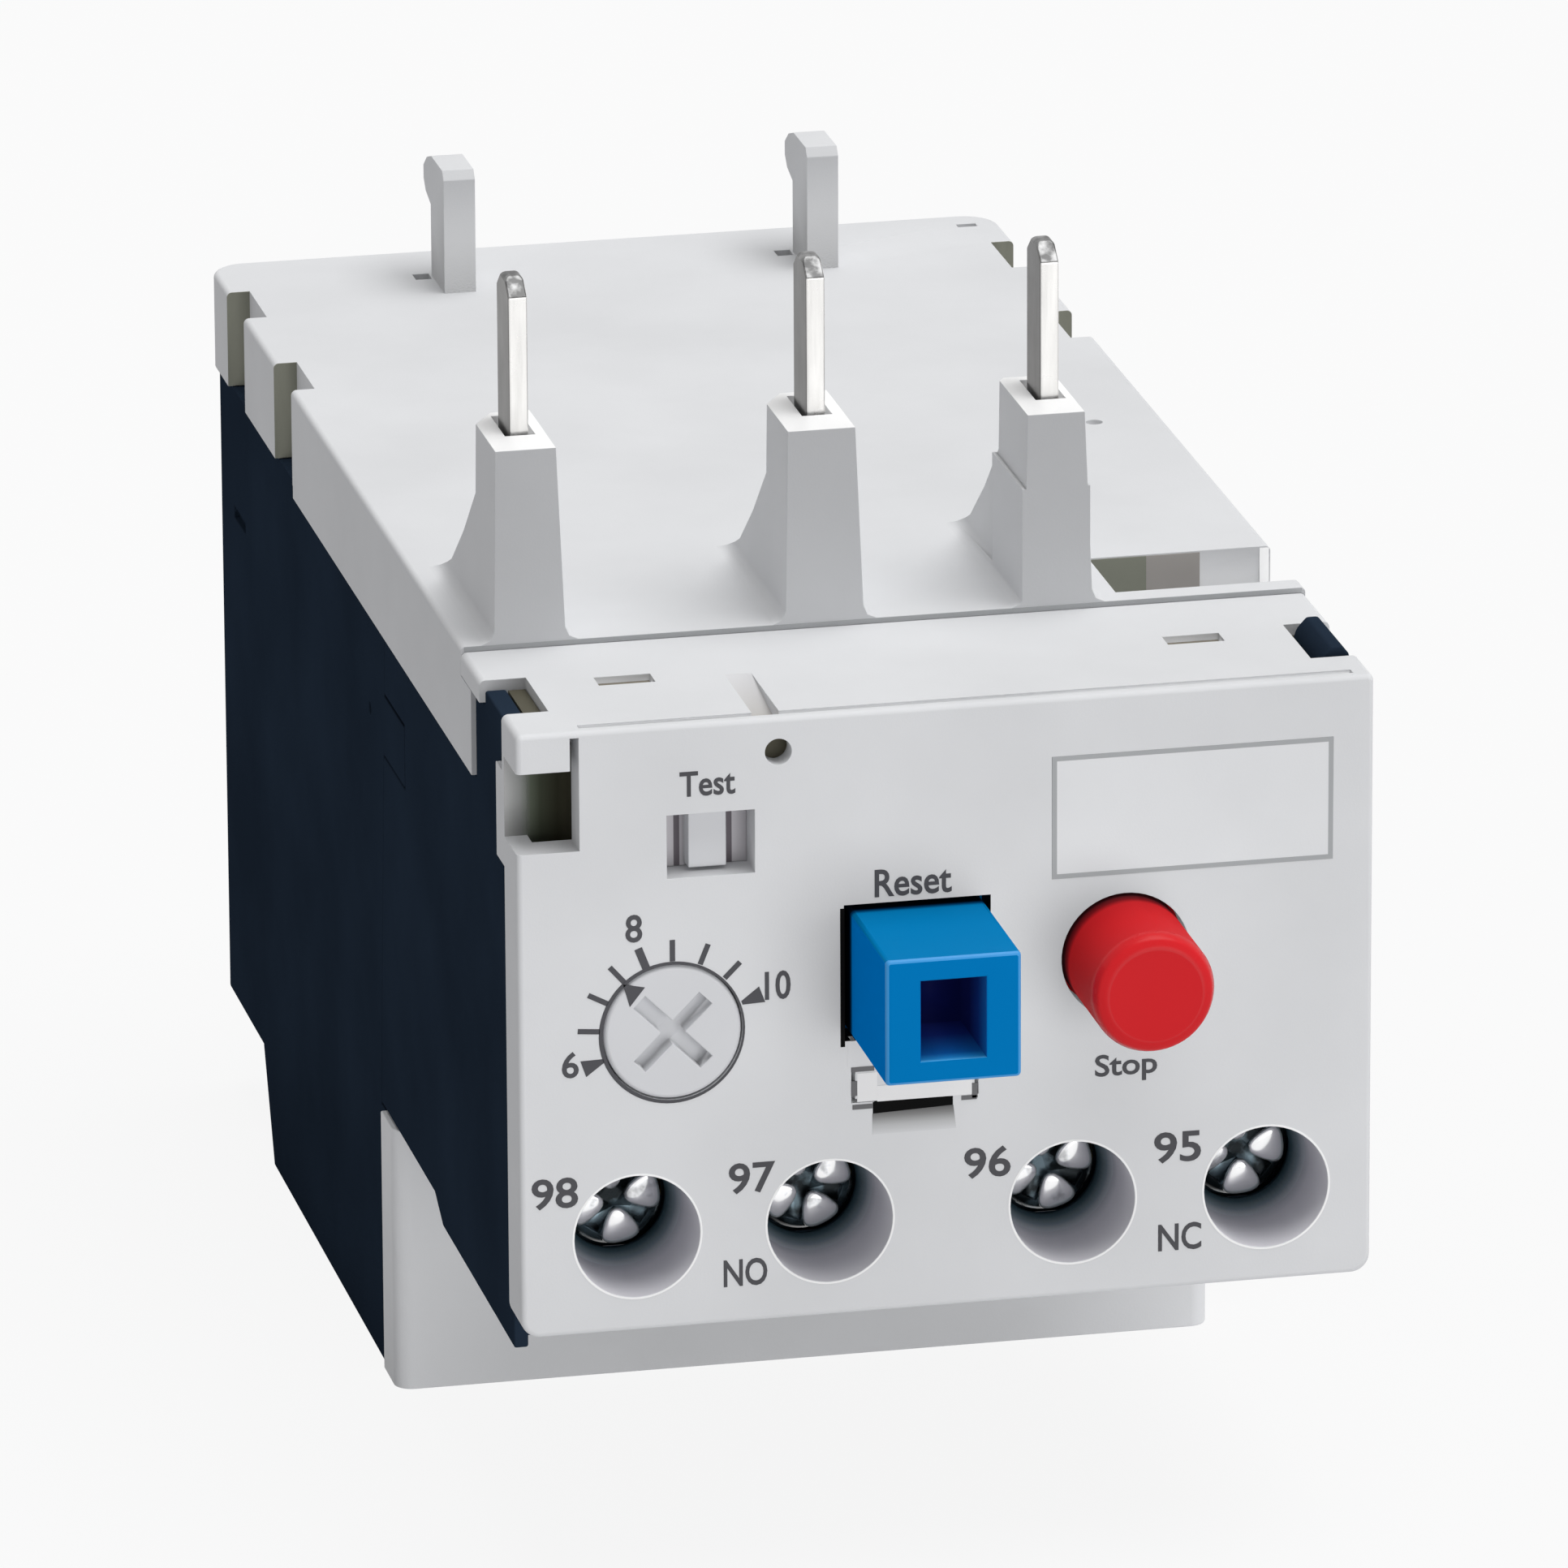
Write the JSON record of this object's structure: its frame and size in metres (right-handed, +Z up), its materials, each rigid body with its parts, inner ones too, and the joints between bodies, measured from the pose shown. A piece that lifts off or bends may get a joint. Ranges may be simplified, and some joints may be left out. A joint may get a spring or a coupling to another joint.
{
  "type": "thermal overload relay",
  "caption": "Thermal overload relay for mounting under a contactor: blades on top, grey front with setting dial, reset and stop buttons and recessed control terminals.",
  "frame": {"origin": "centre of the overall box's footprint, on the plane that the relay stands on", "axes": "+Z up along the blades, -Y out of the front with the dial and the buttons, +X to the right as seen from the front"},
  "size_m": [0.045, 0.0952, 0.0669],
  "materials": {
    "light_grey_plastic": "fine moulded texture",
    "dark_plastic": "fine moulded texture",
    "dial_plastic": "smooth, slightly glossy",
    "blue_plastic": "satin",
    "red_plastic": "satin",
    "inner_plastic": "satin",
    "slider_plastic": "satin",
    "tinned_brass": "tin plated",
    "plated_screw": "bright plated",
    "zinc_steel": "zinc plated",
    "spring_steel": "plain",
    "bimetal": "plain rolled",
    "heater_alloy": "heat tinted",
    "contact_brass": "plain"
  },
  "bodies": {
    "case": {"front_cover": "light_grey_plastic", "top_cover": "light_grey_plastic", "lower_panel": "light_grey_plastic", "front_housing": "dark_plastic", "rear_housing": "dark_plastic", "inner_frame": "inner_plastic", "line_blade_1": "tinned_brass", "load_bar_1": "tinned_brass", "bimetal_strip_1": "bimetal", "heater_winding_1": "heater_alloy", "load_cage_1": "zinc_steel", "line_blade_2": "tinned_brass", "load_bar_2": "tinned_brass", "bimetal_strip_2": "bimetal", "heater_winding_2": "heater_alloy", "load_cage_2": "zinc_steel", "line_blade_3": "tinned_brass", "load_bar_3": "tinned_brass", "bimetal_strip_3": "bimetal", "heater_winding_3": "heater_alloy", "load_cage_3": "zinc_steel", "clamp_washer_95": "zinc_steel", "fixed_contact_95": "contact_brass", "clamp_washer_96": "zinc_steel", "fixed_contact_96": "contact_brass", "clamp_washer_97": "zinc_steel", "fixed_contact_97": "contact_brass", "clamp_washer_98": "zinc_steel", "fixed_contact_98": "contact_brass", "reset_spring": "spring_steel", "stop_spring": "spring_steel", "lever_pin": "spring_steel"},
    "reset_plunger": {"reset_button": "blue_plastic"},
    "stop_plunger": {"stop_button": "red_plastic"},
    "dial": {"setting_dial": "dial_plastic"},
    "test_slide_piece": {"test_slider": "dial_plastic"},
    "push_plate": {"push_slider": "slider_plastic"},
    "restraint_plate": {"restraint_slider": "slider_plastic"},
    "lever": {"release_lever": "inner_plastic", "compensation_strip": "bimetal"},
    "carrier": {"contact_carrier": "inner_plastic", "nc_bridge": "contact_brass", "no_bridge": "contact_brass"},
    "control_screw_95": {"control_screw_95": "plated_screw"},
    "control_screw_96": {"control_screw_96": "plated_screw"},
    "control_screw_97": {"control_screw_97": "plated_screw"},
    "control_screw_98": {"control_screw_98": "plated_screw"},
    "load_screw_1": {"load_screw_1": "plated_screw"},
    "load_screw_2": {"load_screw_2": "plated_screw"},
    "load_screw_3": {"load_screw_3": "plated_screw"}
  },
  "joints": [
    {"name": "dial_turn", "type": "hinge", "parent": "case", "child": "dial", "pos_m": [-0.01445, -0.03935, 0.0315], "axis": [0, -1, 0], "range_deg": [-115, 65]},
    {"name": "reset_press", "type": "slide", "parent": "case", "child": "reset_plunger", "axis": [0, 1, 0], "range_m": [0, 0.0025], "stiffness_N_per_m": 300, "springref_m": -0.002, "deforming": ["reset_spring"]},
    {"name": "stop_press", "type": "slide", "parent": "case", "child": "stop_plunger", "axis": [0, 1, 0], "range_m": [0, 0.0025], "stiffness_N_per_m": 300, "springref_m": -0.002, "deforming": ["stop_spring"]},
    {"name": "test_slide", "type": "slide", "parent": "case", "child": "test_slide_piece", "axis": [1, 0, 0], "range_m": [0, 0.001], "stiffness_N_per_m": 100, "springref_m": -0.001},
    {"name": "trip_slide", "type": "slide", "parent": "case", "child": "push_plate", "axis": [1, 0, 0], "range_m": [0, 0.0015], "stiffness_N_per_m": 100, "springref_m": -0.001},
    {"name": "restraint_slide", "type": "slide", "parent": "case", "child": "restraint_plate", "axis": [1, 0, 0], "range_m": [0, 0.0015]},
    {"name": "lever_turn", "type": "hinge", "parent": "case", "child": "lever", "pos_m": [-0.008, -0.01505, 0.038], "axis": [0, -1, 0], "range_deg": [0, 5]},
    {"name": "contact_shift", "type": "slide", "parent": "case", "child": "carrier", "axis": [0, 1, 0], "range_m": [0, 0.0015]},
    {"name": "control_screw_95_turn", "type": "hinge", "parent": "case", "child": "control_screw_95", "pos_m": [0.0169, -0.03335, 0.02055], "axis": [0, -1, 0], "continuous": true},
    {"name": "control_screw_96_turn", "type": "hinge", "parent": "case", "child": "control_screw_96", "pos_m": [0.0066, -0.03335, 0.02055], "axis": [0, -1, 0], "continuous": true},
    {"name": "control_screw_97_turn", "type": "hinge", "parent": "case", "child": "control_screw_97", "pos_m": [-0.00625, -0.03335, 0.02055], "axis": [0, -1, 0], "continuous": true},
    {"name": "control_screw_98_turn", "type": "hinge", "parent": "case", "child": "control_screw_98", "pos_m": [-0.0164, -0.03335, 0.02055], "axis": [0, -1, 0], "continuous": true},
    {"name": "load_screw_1_turn", "type": "hinge", "parent": "case", "child": "load_screw_1", "pos_m": [-0.0142, -0.00252, 0.0074], "axis": [0, -1, 0], "continuous": true},
    {"name": "load_screw_2_turn", "type": "hinge", "parent": "case", "child": "load_screw_2", "pos_m": [0, -0.00252, 0.0074], "axis": [0, -1, 0], "continuous": true},
    {"name": "load_screw_3_turn", "type": "hinge", "parent": "case", "child": "load_screw_3", "pos_m": [0.0142, -0.00252, 0.0074], "axis": [0, -1, 0], "continuous": true}
  ],
  "couplings": [
    {"joint": "restraint_slide", "follows": "trip_slide", "ratio": 1},
    {"joint": "lever_turn", "follows": "trip_slide", "rad_per_m": 50},
    {"joint": "contact_shift", "follows": "trip_slide", "ratio": 1}
  ]
}
